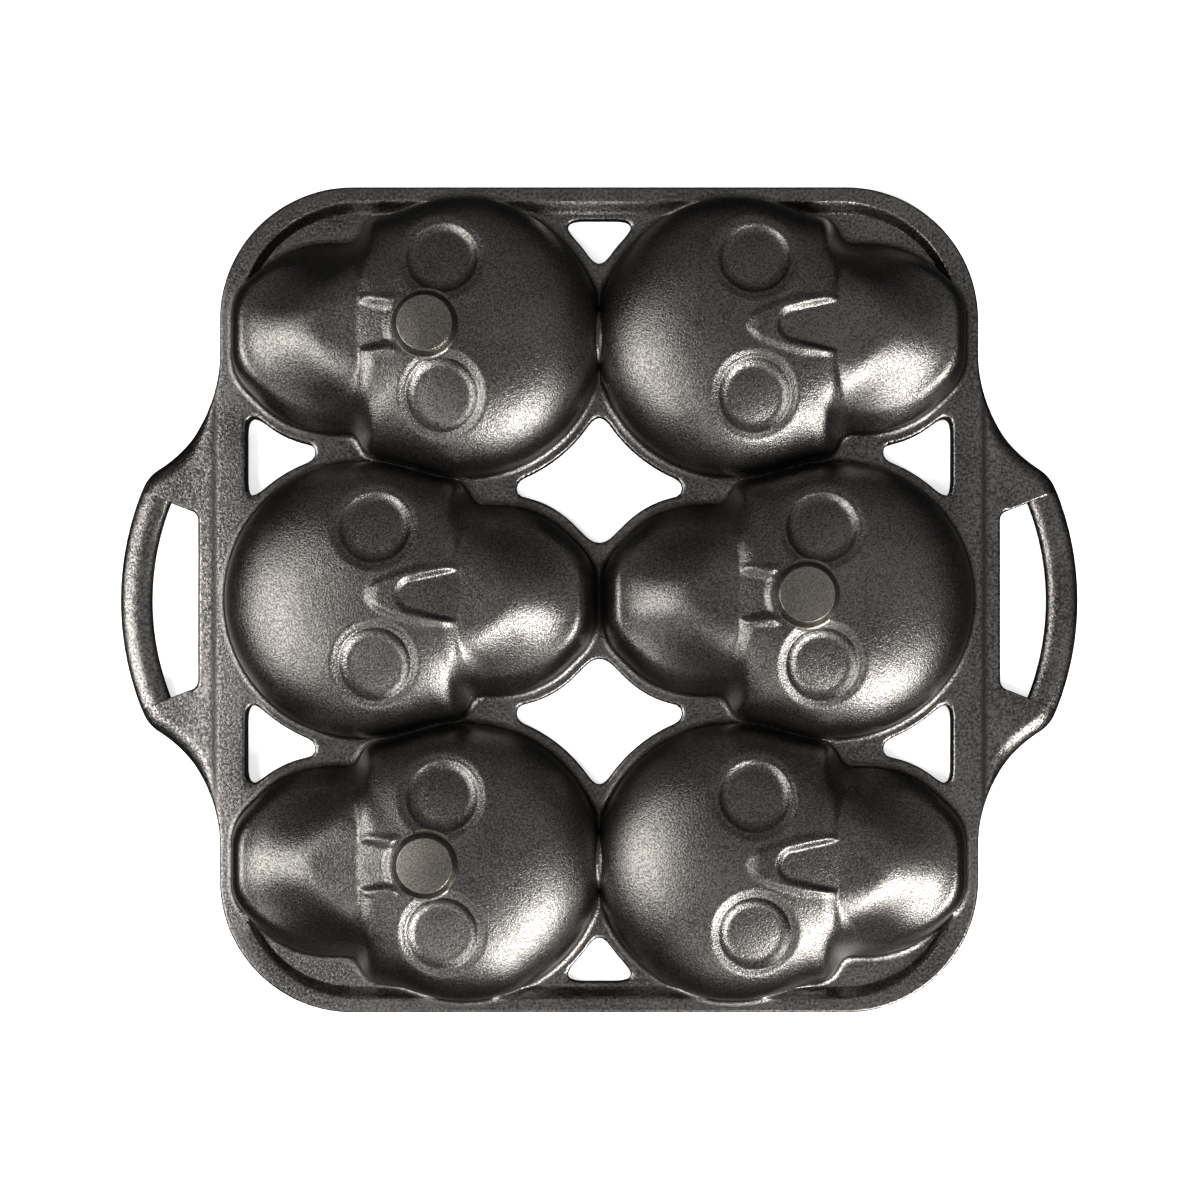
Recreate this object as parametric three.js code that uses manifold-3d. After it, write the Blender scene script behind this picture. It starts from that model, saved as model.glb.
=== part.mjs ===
import * as THREE from 'three';
import { mergeVertices } from 'three/addons/utils/BufferGeometryUtils.js';
import Module from 'manifold-3d';

const wasm = await Module();
wasm.setup();

// Cake pan with six skull cups, lying mouth down with the skulls up.
// Millimetres: +X toward the right handle, +Y toward the upper row, rim plane at z = 0.

// Space left between neighbouring regions of the casting.
const seam = 0.3;

// Skull plan: u runs from the middle of the cranium to the chin, v across.
const craniumRadius = 55;
const cheekInset = 7;
const cheekHalf = craniumRadius - cheekInset;
const cheekReach = 42;
const cheekCorner = 9;
const jawInset = 17.5;
const jawHalf = craniumRadius - jawInset;
const jawRounding = 12;
const chinReach = 92;
const chinRounding = 6;
const chinCut = 15.6;
const jawChamfer = (chinReach + jawHalf) * Math.SQRT1_2 - chinCut;
const templeRounding = 6;
const notchRounding = 5;

// Skull relief above the rim plane.
const skullTop = 38.5;
const domeFlatness = 2.8;
const domeShoulder = 0.5;
const wall = 4.4;
const eyeU = 7;
const eyeV = 26.6;
const eyeFloor = 11;
const eyeLedge = 13.9;
const eyeRim = 18;
const eyeDepth = 1.8;
const eyeBevel = 1.3;
const noseTipU = 16;
const noseHalf = 6.5;
const noseFlare = 0.24;
const noseDepth = 0.2;
const bridgeTipU = 3.5;
const bridgeHalf = 11;
const bridgeRise = 1.6;
const noseSlope = 2.2;

// Jaw: a hump a little lower than the face, whose flat top narrows and falls toward the chin.
const jawDrop = 2;
const jawStepU = 39.5;
const jawStepHalf = 1;
const jawStepWidth = 7;
const jawSweep = 3.5;
const cheekStepHalf = 4;
const jawFlat = 0.21 * jawHalf;
const jawRidgeU = 62;
const jawArch = 0.8;
const jawCurve = 2.2;
const jawEdge = 7;
const chinDrop = 7;
const chinDropFrom = 12;
const chinDropTo = 36;
const chinCorner = 3;
const chinEase = 9;

// Three round foot pads that the pan stands on when it is in use.
const padU = 13.3;
const padRadius = 10.8;
const padDraft = 1.4;
const padRise = 3;
const padMargin = 3;
const padSeat = padRadius + padDraft + padMargin / 3;

// Spacing of the skulls: crowns of a row run into each other, chins nearly meet,
// and the rows keep clear of each other at the crowns and at the cheeks.
const crownMerge = 1.3;
const chinGap = 3.8;
const crownGap = 2.1;
const cheekGap = 2;
const cornerSkullX = craniumRadius - crownMerge;
const middleSkullX = chinReach + chinGap / 2;
const rowShift = middleSkullX - cornerSkullX;
const crownRow = Math.sqrt((2 * craniumRadius + crownGap) ** 2 - rowShift ** 2);
const pastCheek = Math.max(rowShift - cheekReach + cheekCorner, 0);
const cheekApart = Math.sqrt((craniumRadius + cheekCorner + cheekGap) ** 2 - pastCheek ** 2);
const cheekRow = cheekHalf - cheekCorner + cheekApart;
const skullRowY = Math.max(crownRow, cheekRow);

// Frame: rounded rectangle with a raised rail round a lower web.
const sideMargin = 2.8;
const endMargin = 5.4;
const frameHalfWidth = middleSkullX + craniumRadius + sideMargin;
const frameHalfLength = skullRowY + craniumRadius + endMargin;
const frameCorner = 53;
const webHeight = 4.4;
const railRise = 4.4;
const railHeight = webHeight + railRise;
const railEndWidth = 5.4;
const railSideWidth = 9.8;
const railEndSlope = 4.8;
const railSideSlope = 0.5;

// Windows through the web, each set back from the skulls by a flat land and blunt at its tips.
const landWidth = 5;
const endLand = 1.9;
const windowRounding = 8;
const windowReach = 50;
const diamondHalfWidth = 34.8;
const sideWindowLength = 29.1;
const tipRounding = 5;

// Handles: a flared ear on each side and a bowed grip between its ends.
const earStep = 1;
const flareStartY = 98.5;
const flareRadius = 54;
const earCorner = 16;
const gripReach = 34.2;
const gripRadius = 112;
const gripWidth = 12.8;
const gripThickness = 7;
const gripHalfAngle = THREE.MathUtils.degToRad(21.8);
const earStrip = 9;
const fingerGapCorner = 4;

// Fineness of the facets.
const skullColumns = 60;
const columnCrowding = 0.45;
const wallRings = [2.5, 6, 11];
const fillSpacing = 10;
const faceMargin = 7;
const cornerSteps = 10;

const { clamp, lerp, smoothstep } = THREE.MathUtils;

const iron = (color, roughness) =>
  new THREE.MeshStandardMaterial({ color, roughness, metalness: 0.55 });
const satinIron = iron(0x45423f, 0.5);
const grainyIron = iron(0x57524d, 0.7);

function softMin(a, b, reach) {
  const h = clamp(0.5 + (0.5 * (b - a)) / reach, 0, 1);
  return lerp(b, a, h) - reach * h * (1 - h);
}

const softMax = (a, b, reach) => -softMin(-a, -b, reach);

// Distance of a point outside the foot of a skull; inside it is negative.
function footDistance(u, v, crownReach) {
  const across = Math.abs(v);
  const cranium = Math.hypot(u, across) - craniumRadius;
  const cheekU = Math.abs(u - cheekReach / 2) - cheekReach / 2 + cheekCorner;
  const cheekV = across - cheekHalf + cheekCorner;
  const cheekOut = Math.hypot(Math.max(cheekU, 0), Math.max(cheekV, 0));
  const cheek = cheekOut + Math.min(Math.max(cheekU, cheekV), 0) - cheekCorner;
  const jawSide = softMax(across - jawHalf, (u + across) * Math.SQRT1_2 - jawChamfer, jawRounding);
  const jaw = Math.max(softMax(jawSide, u - chinReach, chinRounding), -u);
  const skull = softMin(softMin(cranium, cheek, templeRounding), jaw, notchRounding);
  return Math.max(skull, -u - crownReach);
}

// Finds where a function along a ray rises past zero.
function crossing(value, far) {
  let near = 0;
  for (let step = 0; step < 40; step += 1) {
    const middle = (near + far) / 2;
    if (value(middle) < 0) near = middle;
    else far = middle;
  }
  return (near + far) / 2;
}

// Distance from the pad's middle to the skull's foot, moved out by an offset.
function footRadius(angle, offset, crownReach) {
  const c = Math.cos(angle);
  const s = Math.sin(angle);
  return crossing((r) => footDistance(padU + r * c, r * s, crownReach) - offset, 2 * chinReach);
}

// Columns stand closer together toward the chin.
function columnAngle(column) {
  const turn = (2 * Math.PI * column) / skullColumns;
  return turn - columnCrowding * Math.sin(turn);
}

function arcPoints(centreX, centreY, radius, from, to, steps) {
  const points = [];
  for (let step = 0; step <= steps; step += 1) {
    const angle = lerp(from, to, step / steps);
    const x = centreX + radius * Math.cos(angle);
    const y = centreY + radius * Math.sin(angle);
    points.push(new THREE.Vector2(x, y));
  }
  return points;
}

// Half-width of the raised bridge of the nose at a place along the skull.
function bridgeWidth(u) {
  return bridgeHalf * Math.sqrt(clamp((u - bridgeTipU) / (2 * bridgeHalf), 0, 1));
}

// Distance outside the nose dent, which has a round upper end and widens toward the jaw.
function noseDistance(u, v) {
  const past = u - noseTipU - noseHalf;
  return Math.hypot(Math.min(past, 0), v) - noseHalf - noseFlare * Math.max(past, 0);
}

// How much of the bend toward the chin and of the wider step at the cheeks is reached.
const cheekShare = (v) => smoothstep(Math.abs(v), 0.45 * jawHalf, 0.85 * jawHalf);

// Line where the face ends and the jaw begins, bent toward the chin at the cheeks.
const jawLine = (v) => jawStepU + jawSweep * cheekShare(v);

// Raising and lowering of the dome by the face.
function faceRelief(u, v, padded) {
  const across = Math.abs(v);
  const eyeDistance = Math.hypot(u - eyeU, across - eyeV);
  const eyeWall = clamp((eyeDistance - eyeFloor) / (eyeLedge - eyeFloor), 0, 1);
  const bevel = eyeBevel * (1 - smoothstep(eyeDistance, eyeLedge, eyeRim));
  const eye = eyeDepth * (1 - eyeWall ** 2) + bevel;
  const tip = smoothstep(u, bridgeTipU - noseSlope, bridgeTipU + 3 * noseSlope);
  const bridge = bridgeRise * tip * smoothstep(bridgeWidth(u) - across, -noseSlope, noseSlope);
  const channel = 1 - smoothstep(noseDistance(u, v), -noseSlope, noseSlope);
  const noseShare = clamp((u - noseTipU) / (jawStepU - noseTipU), 0, 1);
  const noseFall = lerp(noseDepth, jawDrop, noseShare) * channel;
  const stepFall = clamp((u - jawLine(v)) / jawStepWidth + 1, 0, 1) ** 2;
  const seat = padded ? smoothstep(Math.hypot(u - padU, v), padSeat, padSeat + padMargin) : 1;
  return (bridge * (1 - stepFall) * (1 - channel) - Math.max(noseFall, jawDrop * stepFall)) * seat - eye;
}

// Half-width of the jaw's flat top at a place along the skull.
const jawTopHalf = (u, v) => jawFlat * (1 - smoothstep(u, jawLine(v), jawRidgeU));

function jawHeight(u, v, depth, base, top) {
  const slant = (u + Math.hypot(v, chinEase)) * Math.SQRT1_2;
  const fromChin = softMin(chinReach - u, jawChamfer + chinCorner - slant, chinEase);
  const drop = jawDrop + chinDrop * (1 - smoothstep(fromChin, chinDropFrom, chinDropTo));
  const flat = jawTopHalf(u, v);
  const flank = Math.max(Math.abs(v) - flat, 0) / (jawHalf - flat);
  const arch = Math.max(1 - jawArch * flank ** jawCurve, 0);
  const edge = clamp(1 - depth / jawEdge, 0, 1);
  return base + (top - base - drop) * arch * Math.sqrt(1 - edge ** 2);
}

function domeHeight(spread, base, top) {
  return base + (top - base) * (1 - spread ** domeFlatness) ** domeShoulder;
}

const circlePoints = (u, v, radius, count) => arcPoints(u, v, radius, 0, 2 * Math.PI, count).slice(1);

// Plan points that catch the eyes, the nose, the pad's seat and the step to the jaw.
function facePoints(padded) {
  const points = [];
  const add = (u, v) => points.push(new THREE.Vector2(u, v));
  const jawFrom = jawStepU - jawStepHalf;
  const noseMiddle = noseTipU + noseHalf;
  for (const side of [-1, 1]) {
    add(eyeU, side * eyeV);
    points.push(...circlePoints(eyeU, side * eyeV, eyeFloor, 14));
    points.push(...circlePoints(eyeU, side * eyeV, eyeLedge, 16));
    points.push(...circlePoints(eyeU, side * eyeV, eyeRim, 16));
    for (const slope of [-noseSlope, noseSlope]) {
      const half = noseHalf + slope;
      for (let angle = 100; angle <= 180; angle += 40) {
        const turn = THREE.MathUtils.degToRad(angle);
        add(noseMiddle + half * Math.cos(turn), side * half * Math.sin(turn));
      }
      for (const u of [(noseMiddle + jawFrom) / 2, jawFrom]) {
        add(u, side * (half + noseFlare * (u - noseMiddle)));
      }
      for (let u = bridgeTipU + 1; u < jawFrom; u += fillSpacing / 2) {
        add(u, side * (bridgeWidth(u) + slope));
      }
    }
    for (let v = fillSpacing; v < jawHalf; v += fillSpacing) {
      const half = lerp(jawStepHalf, cheekStepHalf, cheekShare(v));
      add(jawLine(v) - jawStepWidth, side * v);
      add(jawLine(v) - half, side * (v + noseSlope));
      add(jawLine(v) + half, side * v);
    }
    for (let u = jawStepU + fillSpacing / 2; u < chinReach; u += fillSpacing * 0.7) {
      add(u, side * jawTopHalf(u, jawFlat));
      add(u, side * (jawTopHalf(u, jawFlat) + fillSpacing * 0.7));
    }
  }
  add(jawStepU + jawStepHalf, 0);
  if (!padded) return points;
  const padMiddle = new THREE.Vector2(padU, 0);
  const clearOfPad = points.filter((p) => p.distanceTo(padMiddle) > padSeat + padMargin);
  const innerRing = circlePoints(padU, 0, padSeat, 16);
  const outerRing = circlePoints(padU, 0, padSeat + padMargin, 18);
  return [...clearOfPad, padMiddle, ...innerRing, ...outerRing];
}

// Triangles of a point set in the plane whose circles hold no other point.
function delaunay(points) {
  const count = points.length;
  const far = 100 * chinReach;
  const nudge = (i) => new THREE.Vector2(Math.sin(7 * i), Math.cos(5 * i)).multiplyScalar(1e-4);
  const all = points.map((p, i) => nudge(i).add(p));
  all.push(new THREE.Vector2(-far, -far), new THREE.Vector2(far, -far), new THREE.Vector2(0, far));

  function circleHolds([i, j, k], p) {
    const a = all[i].clone().sub(p);
    const b = all[j].clone().sub(p);
    const c = all[k].clone().sub(p);
    return a.lengthSq() * b.cross(c) + b.lengthSq() * c.cross(a) + c.lengthSq() * a.cross(b) > 0;
  }

  let triangles = [[count, count + 1, count + 2]];
  for (let i = 0; i < count; i += 1) {
    const border = new Map();
    const kept = [];
    for (const triangle of triangles) {
      if (!circleHolds(triangle, all[i])) {
        kept.push(triangle);
      } else {
        triangle.forEach((from, corner) => {
          const to = triangle[(corner + 1) % 3];
          if (!border.delete(`${to} ${from}`)) border.set(`${from} ${to}`, [from, to]);
        });
      }
    }
    triangles = kept;
    for (const [from, to] of border.values()) triangles.push([from, to, i]);
  }
  return triangles.filter((triangle) => Math.max(...triangle) < count);
}

// One face of the skull's wall: its foot first, then rings up the wall, the face and a fill.
function skullSkin(inset, base, top, crownReach, padded) {
  const points = [];
  const add = (angle, r) => points.push(new THREE.Vector2(padU + r * Math.cos(angle), r * Math.sin(angle)));
  const angles = Array.from({ length: skullColumns }, (_, column) => columnAngle(column));
  for (const angle of angles) add(angle, footRadius(angle, -inset, crownReach));
  for (const depth of wallRings) {
    for (const angle of angles) add(angle, footRadius(angle, -inset - depth, crownReach));
  }
  const clear = (p, space) => points.every((q) => q.distanceTo(p) > space);
  for (const p of facePoints(padded)) {
    if (clear(p, noseSlope) && footDistance(p.x, p.y, crownReach) < -inset - faceMargin) points.push(p);
  }
  for (let u = -craniumRadius; u < chinReach; u += fillSpacing) {
    for (let v = 0; v < craniumRadius; v += fillSpacing) {
      for (const side of v > 0 ? [-1, 1] : [1]) {
        const p = new THREE.Vector2(u, side * v);
        const inside = footDistance(p.x, p.y, crownReach) < -inset - fillSpacing;
        if (inside && clear(p, fillSpacing * 0.6)) points.push(p);
      }
    }
  }
  const heights = points.map(({ x, y }, i) => {
    if (i < skullColumns) return base;
    const reach = footRadius(Math.atan2(y, x - padU), -inset, crownReach);
    const spread = Math.min(Math.hypot(x - padU, y) / reach, 1);
    const face = domeHeight(spread, base, top) + faceRelief(x, y, padded) * (1 - spread ** 8);
    const jaw = jawHeight(x, y, -inset - footDistance(x, y, crownReach), base, top);
    const half = lerp(jawStepHalf, cheekStepHalf, cheekShare(y));
    return lerp(face, jaw, smoothstep(x, jawLine(y) - half, jawLine(y) + half));
  });
  const triangles = delaunay(points).filter((triangle) => Math.max(...triangle) >= skullColumns);
  return { points: points.flatMap((p, i) => [p.x, p.y, heights[i]]), triangles };
}

// Hollow skull, open below.
function skullCup(crownReach, padded) {
  const outer = skullSkin(0, webHeight, skullTop, crownReach, padded);
  const inner = skullSkin(wall, 0, skullTop - wall, crownReach, padded);
  const base = outer.points.slice(0, 3 * skullColumns).map((value, i) => (i % 3 === 2 ? 0 : value));
  const baseFrom = outer.points.length / 3;
  const innerFrom = baseFrom + skullColumns;
  const index = outer.triangles.flat();
  index.push(...inner.triangles.flatMap(([a, b, c]) => [innerFrom + a, innerFrom + c, innerFrom + b]));
  for (let column = 0; column < skullColumns; column += 1) {
    const next = (column + 1) % skullColumns;
    for (const [upper, lower] of [[0, baseFrom], [baseFrom, innerFrom]]) {
      index.push(upper + column, lower + column, lower + next);
      index.push(upper + column, lower + next, upper + next);
    }
  }
  const geometry = new THREE.BufferGeometry();
  const points = [...outer.points, ...base, ...inner.points];
  geometry.setAttribute('position', new THREE.Float32BufferAttribute(points, 3));
  geometry.setIndex(index);
  return geometry;
}

function solid(geometry) {
  const bare = geometry.clone();
  bare.deleteAttribute('normal');
  bare.deleteAttribute('uv');
  const merged = mergeVertices(bare, 1e-4);
  return new wasm.Manifold(new wasm.Mesh({
    numProp: 3,
    vertProperties: new Float32Array(merged.attributes.position.array),
    triVerts: new Uint32Array(merged.index.array),
  }));
}

function geometryOf(body) {
  const mesh = body.getMesh();
  const geometry = new THREE.BufferGeometry();
  geometry.setAttribute('position', new THREE.Float32BufferAttribute(mesh.vertProperties, 3));
  geometry.setIndex(Array.from(mesh.triVerts));
  return geometry;
}

function prism(outline, from, to) {
  const shape = new THREE.Shape(outline);
  const geometry = new THREE.ExtrudeGeometry(shape, { depth: to - from, bevelEnabled: false });
  return solid(geometry.translate(0, 0, from));
}

function roundedRectangle(halfWidth, halfLength, radius) {
  const points = [];
  [[1, 1], [-1, 1], [-1, -1], [1, -1]].forEach(([sx, sy], quarter) => {
    const centreX = sx * (halfWidth - radius);
    const centreY = sy * (halfLength - radius);
    const from = (quarter * Math.PI) / 2;
    points.push(...arcPoints(centreX, centreY, radius, from, from + Math.PI / 2, cornerSteps));
  });
  return points;
}

// Convex body through outlines of equal point count at rising heights.
function loft(levels) {
  const count = levels[0].outline.length;
  const points = levels.flatMap(({ outline, z }) => outline.flatMap((p) => [p.x, p.y, z]));
  const index = [];
  const last = (levels.length - 1) * count;
  for (let i = 0; i < count; i += 1) {
    const next = (i + 1) % count;
    for (let level = 0; level < last; level += count) {
      index.push(level + i, level + next, level + count + next);
      index.push(level + i, level + count + next, level + count + i);
    }
    if (i > 0 && next > 0) {
      index.push(0, next, i);
      index.push(last, last + i, last + next);
    }
  }
  const geometry = new THREE.BufferGeometry();
  geometry.setAttribute('position', new THREE.Float32BufferAttribute(points, 3));
  geometry.setIndex(index);
  return solid(geometry);
}

const rows = { upper: 1, middle: 0, lower: -1 };
const sides = { left: -1, right: 1 };
const paddedSkulls = ['upper_left', 'lower_left', 'middle_right'];
const cornerCrown = cornerSkullX - seam / 2;

const skulls = [];
for (const [row, rowSign] of Object.entries(rows)) {
  for (const [side, sideSign] of Object.entries(sides)) {
    const name = `${row}_${side}`;
    const corner = rowSign !== 0;
    skulls.push({
      name,
      x: sideSign * (corner ? cornerSkullX : middleSkullX),
      y: rowSign * skullRowY,
      turn: sideSign * (corner ? 1 : -1) > 0 ? 0 : Math.PI,
      crownReach: corner ? Math.min(cornerCrown, craniumRadius) : craniumRadius,
      padded: paddedSkulls.includes(name),
    });
  }
}

function skullOutline(skull, offset) {
  const points = [];
  for (let column = 0; column < skullColumns; column += 1) {
    const angle = columnAngle(column);
    const r = footRadius(angle, offset, skull.crownReach);
    const p = new THREE.Vector2(padU + r * Math.cos(angle), r * Math.sin(angle));
    points.push(p.rotateAround(new THREE.Vector2(), skull.turn).add(new THREE.Vector2(skull.x, skull.y)));
  }
  return points;
}

// Pocket inside the rail, where the web lies.
const pocketHalfWidth = frameHalfWidth - railSideWidth - railSideSlope;
const pocketHalfLength = frameHalfLength - railEndWidth - railEndSlope;
const pocketCorner = frameCorner - railEndWidth - railEndSlope;
const windowHalfLength = pocketHalfLength - endLand;

// How far a point lies inside a window: clear of every land and of the frame.
function windowDepth(x, y) {
  let depth = softMin(pocketHalfWidth - Math.abs(x), windowHalfLength - Math.abs(y), windowRounding);
  for (const skull of skulls) {
    const facing = Math.cos(skull.turn);
    const distance = footDistance((x - skull.x) * facing, y - skull.y, craniumRadius);
    depth = softMin(depth, distance - landWidth, windowRounding);
  }
  const across = Math.abs(x);
  const inMiddle = across < cornerSkullX;
  const fromTip = inMiddle ? diamondHalfWidth - across : across - pocketHalfWidth + sideWindowLength;
  return softMin(depth, fromTip, tipRounding);
}

function windowOutline(x, y, count) {
  const points = [];
  for (let i = 0; i < count; i += 1) {
    const angle = (2 * Math.PI * i) / count;
    const c = Math.cos(angle);
    const s = Math.sin(angle);
    const r = crossing((t) => -windowDepth(x + t * c, y + t * s), windowReach);
    points.push(new THREE.Vector2(x + r * c, y + r * s));
  }
  return points;
}

const cupHoles = skulls.map((skull) => prism(skullOutline(skull, seam), -1, railHeight + 1));
const cut = (body, tools) => tools.reduce((left, tool) => left.subtract(tool), body);

// Rail: the frame less a pocket whose sides slope in below the flat top.
const pocketFloor = roundedRectangle(pocketHalfWidth, pocketHalfLength, pocketCorner);
const pocketMouth = roundedRectangle(
  frameHalfWidth - railSideWidth,
  frameHalfLength - railEndWidth,
  frameCorner - railEndWidth,
);
const pocket = loft([
  { outline: pocketFloor, z: -1 },
  { outline: pocketFloor, z: webHeight },
  { outline: pocketMouth, z: railHeight },
  { outline: pocketMouth, z: railHeight + 1 },
]);
const frameOutline = roundedRectangle(frameHalfWidth, frameHalfLength, frameCorner);
const rail = cut(prism(frameOutline, 0, railHeight), [pocket, ...cupHoles]);

// Web: the floor of the pocket, cut into regions by the skulls and pierced by the windows.
const webFloor = roundedRectangle(pocketHalfWidth - seam, pocketHalfLength - seam, pocketCorner - seam);
const sideWindowX = pocketHalfWidth - windowRounding;
const sideWindowY = skullRowY * 0.555;
const endWindowY = windowHalfLength - windowRounding;
const diamondY = skullRowY * 0.45;
const windows = [];
for (const sy of [1, -1]) {
  windows.push(windowOutline(0, sy * diamondY, 36));
  windows.push(windowOutline(0, sy * endWindowY, 24));
  for (const sx of [1, -1]) windows.push(windowOutline(sx * sideWindowX, sy * sideWindowY, 24));
}
const windowHoles = windows.map((outline) => prism(outline, -1, webHeight + 1));
const web = cut(prism(webFloor, 0, webHeight), [...cupHoles, ...windowHoles]);

function webWithin(fromX, toX, fromY, toY) {
  const box = new THREE.BoxGeometry(toX - fromX, toY - fromY, 4 * webHeight);
  box.translate((fromX + toX) / 2, (fromY + toY) / 2, 0);
  return geometryOf(web.intersect(solid(box)));
}

// Handle: the flare, a rounded corner and the bowed outer side of the grip.
const bowX = frameHalfWidth + gripReach - gripRadius;
const bowOuter = gripRadius + gripWidth / 2;
const flareX = frameHalfWidth + flareRadius;
const earHeight = railHeight - earStep;

// Middle of the ear's rounded corner, touching the flare outside and the bow inside.
function earCornerCentre() {
  const fromFlare = flareRadius + earCorner;
  const fromBow = bowOuter - earCorner;
  const toBow = new THREE.Vector2(bowX - flareX, -flareStartY);
  const apart = toBow.length();
  const along = (fromFlare ** 2 - fromBow ** 2 + apart ** 2) / (2 * apart);
  const aside = Math.sqrt(fromFlare ** 2 - along ** 2);
  toBow.normalize();
  const x = flareX + toBow.x * along - toBow.y * aside;
  const y = flareStartY + toBow.y * along + toBow.x * aside;
  return new THREE.Vector2(x, y);
}

const mirrored = (points) => points.map((p) => new THREE.Vector2(p.x, -p.y)).reverse();

function earOutline() {
  const { x, y } = earCornerCentre();
  const toFlare = Math.atan2(flareStartY - y, flareX - x);
  const toBow = Math.atan2(y, x - bowX);
  const tip = Math.acos(1 - (2 * seam) / flareRadius);
  const side = [new THREE.Vector2(frameHalfWidth + seam, flareStartY - flareRadius * Math.sin(tip))];
  const flare = arcPoints(flareX, flareStartY, flareRadius, Math.PI + tip, Math.PI + toFlare, 12);
  const corner = arcPoints(x, y, earCorner, toFlare, toBow, 5);
  const bow = arcPoints(bowX, 0, bowOuter, toBow, 0, 6);
  const half = [...side, ...flare, ...corner.slice(1), ...bow.slice(1)];
  return [...half, ...mirrored(half).slice(1)];
}

// Finger gap together with the sector that the grip fills.
function fingerGapOutline() {
  const rise = Math.sin(gripHalfAngle);
  const run = Math.cos(gripHalfAngle);
  const x = frameHalfWidth + earStrip + fingerGapCorner;
  const y = ((x - bowX) * rise - fingerGapCorner) / run;
  const corner = arcPoints(x, y, fingerGapCorner, Math.PI, gripHalfAngle + Math.PI / 2, 5);
  const far = bowOuter + earCorner;
  const half = [...corner, new THREE.Vector2(bowX + far * run, far * rise)];
  return [...half, ...mirrored(half)];
}

function handleEar() {
  const gap = prism(fingerGapOutline(), -1, earHeight + 1);
  return geometryOf(prism(earOutline(), 0, earHeight).subtract(gap));
}

class Bow extends THREE.Curve {
  getPoint(t, target = new THREE.Vector3()) {
    const reach = gripHalfAngle - seam / gripRadius;
    const angle = lerp(-reach, reach, t);
    const x = bowX + gripRadius * Math.cos(angle);
    return target.set(x, gripRadius * Math.sin(angle), gripThickness / 2);
  }
}

function handleGrip() {
  const section = new THREE.Shape();
  section.absellipse(0, 0, gripThickness / 2, gripWidth / 2, 0, 2 * Math.PI);
  return new THREE.ExtrudeGeometry(section, {
    extrudePath: new Bow(),
    steps: 10,
    curveSegments: 8,
  });
}

function footPad() {
  const seat = skullTop + seam;
  const top = skullTop + padRise;
  const profile = [[0, seat], [padRadius + padDraft, seat], [padRadius, top], [0, top]];
  return new THREE.LatheGeometry(profile.map(([x, y]) => new THREE.Vector2(x, y)), 28).rotateX(Math.PI / 2);
}

const pan = new THREE.Group();

function place(name, geometry, material, x = 0, y = 0, turn = 0) {
  const mesh = new THREE.Mesh(geometry, material);
  mesh.name = name;
  mesh.position.set(x, y, 0);
  mesh.rotation.z = turn;
  pan.add(mesh);
}

for (const skull of skulls) {
  const { name, x, y, turn, crownReach, padded } = skull;
  place(`skull_cup_${name}`, skullCup(crownReach, padded), satinIron, x, y, turn);
  if (padded) place(`foot_pad_${name}`, footPad(), grainyIron, x + Math.cos(turn) * padU, y);
}

place('border_rail', geometryOf(rail), grainyIron);
place('web_middle', webWithin(-frameHalfWidth, frameHalfWidth, -skullRowY, skullRowY), grainyIron);
for (const [row, sy] of [['upper', 1], ['lower', -1]]) {
  const near = sy * skullRowY;
  const far = sy * frameHalfLength;
  const [fromY, toY] = [Math.min(near, far), Math.max(near, far)];
  place(`web_${row}`, webWithin(-cornerSkullX, cornerSkullX, fromY, toY), grainyIron);
  for (const [side, sx] of Object.entries(sides)) {
    const [inX, outX] = [sx * cornerSkullX, sx * frameHalfWidth];
    const corner = webWithin(Math.min(inX, outX), Math.max(inX, outX), fromY, toY);
    place(`web_corner_${row}_${side}`, corner, grainyIron);
  }
}
for (const [side, sx] of Object.entries(sides)) {
  const turn = sx > 0 ? 0 : Math.PI;
  place(`handle_ear_${side}`, handleEar(), grainyIron, 0, 0, turn);
  place(`handle_grip_${side}`, handleGrip(), grainyIron, 0, 0, turn);
}

export default pan;
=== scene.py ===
import math

import bpy
import numpy as np
from mathutils import Matrix, Vector, geometry

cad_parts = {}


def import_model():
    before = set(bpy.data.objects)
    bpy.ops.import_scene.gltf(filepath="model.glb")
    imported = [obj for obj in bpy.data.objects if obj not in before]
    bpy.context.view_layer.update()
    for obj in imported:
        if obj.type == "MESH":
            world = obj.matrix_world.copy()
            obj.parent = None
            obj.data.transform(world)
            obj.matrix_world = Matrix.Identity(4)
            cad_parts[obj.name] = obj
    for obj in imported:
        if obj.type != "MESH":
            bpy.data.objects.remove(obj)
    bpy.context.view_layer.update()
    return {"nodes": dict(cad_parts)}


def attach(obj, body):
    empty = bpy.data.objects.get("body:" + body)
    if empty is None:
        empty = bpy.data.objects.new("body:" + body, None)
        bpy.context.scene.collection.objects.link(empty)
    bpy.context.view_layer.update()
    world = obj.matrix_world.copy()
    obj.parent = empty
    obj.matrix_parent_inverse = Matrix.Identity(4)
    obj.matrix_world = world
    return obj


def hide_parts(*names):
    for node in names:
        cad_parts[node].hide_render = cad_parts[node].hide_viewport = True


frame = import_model()
mm = 0.001
print("frame loaded:", len(frame["nodes"]), "nodes")


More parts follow.
